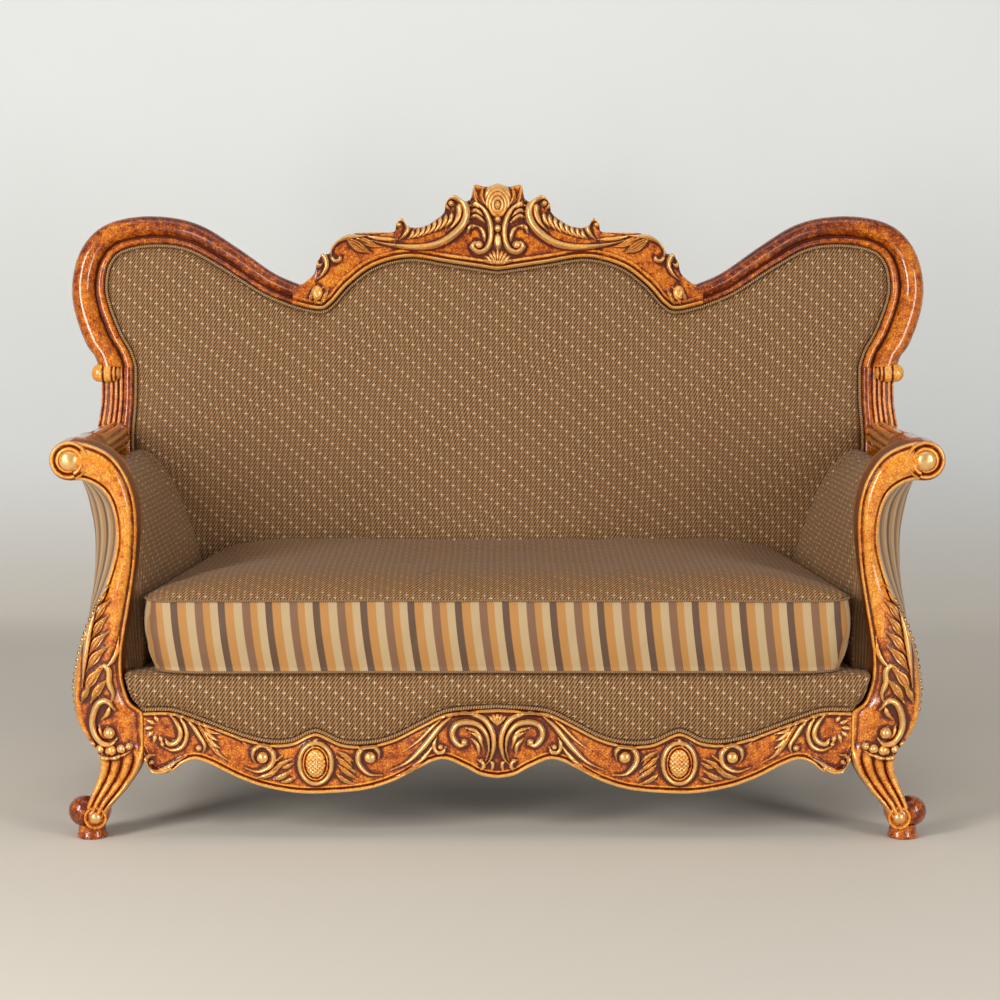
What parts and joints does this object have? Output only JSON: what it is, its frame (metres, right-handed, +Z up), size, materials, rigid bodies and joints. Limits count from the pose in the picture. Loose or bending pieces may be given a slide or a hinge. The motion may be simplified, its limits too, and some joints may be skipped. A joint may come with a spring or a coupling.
{
  "type": "cabriole sofa",
  "caption": "Small cabriole sofa with a carved serpentine show-wood frame, scrolled arms, eared and crested back, upholstered panels and a loose box cushion.",
  "frame": {"origin": "centre of the overall width and depth, on the floor", "axes": "+X to the right as seen from the front, +Y from the front to the back, +Z up"},
  "size_m": [1.725, 0.8163, 1.1613],
  "materials": {
    "show_wood": "glossy mottled lacquer with gilded carving",
    "beech": "plain sawn",
    "lattice_cloth": "brown weave with a fine gold diagonal lattice and small crosses",
    "striped_cloth": "wide brown, gold and cream stripes",
    "braid": "twisted cord",
    "gilt_metal": "satin gilt",
    "webbing": "woven strap",
    "black_cloth": "thin non-woven cloth",
    "foam": "foam block"
  },
  "bodies": {
    "frame": {"front_apron": "show_wood", "inner_front_rail": "beech", "front_post_left": "show_wood", "front_post_right": "show_wood", "side_seat_rail_left": "beech", "side_seat_rail_right": "beech", "back_seat_rail": "beech", "seat_brace": "beech", "corner_blocks": "beech", "back_post_left": "show_wood", "back_post_right": "show_wood", "back_ear_left": "show_wood", "back_ear_right": "show_wood", "crest_rail": "show_wood", "back_liner_rail": "beech", "back_upright": "beech", "frame_dowels": "beech", "arm_roll_left": "show_wood", "arm_roll_right": "show_wood", "arm_tack_rail_left": "beech", "arm_tack_rail_right": "beech", "seat_webbing": "webbing", "back_webbing": "webbing", "deck_pad": "lattice_cloth", "deck_front_border": "lattice_cloth", "back_pad": "lattice_cloth", "back_panel": "lattice_cloth", "arm_pad_left": "lattice_cloth", "arm_pad_right": "lattice_cloth", "arm_panel_left": "striped_cloth", "arm_panel_right": "striped_cloth", "back_gimp": "braid", "deck_gimp": "braid", "nailheads_left": "gilt_metal", "nailheads_right": "gilt_metal", "dust_cover": "black_cloth"},
    "cushion": {"cushion_core": "foam", "cushion_top_panel": "lattice_cloth", "cushion_bottom_panel": "lattice_cloth", "cushion_boxing": "striped_cloth", "cushion_top_piping": "braid", "cushion_bottom_piping": "braid"}
  },
  "joints": [
    {"name": "cushion_lift", "type": "slide", "parent": "frame", "child": "cushion", "axis": [0, 0, 1], "range_m": [0, 0.8]}
  ]
}
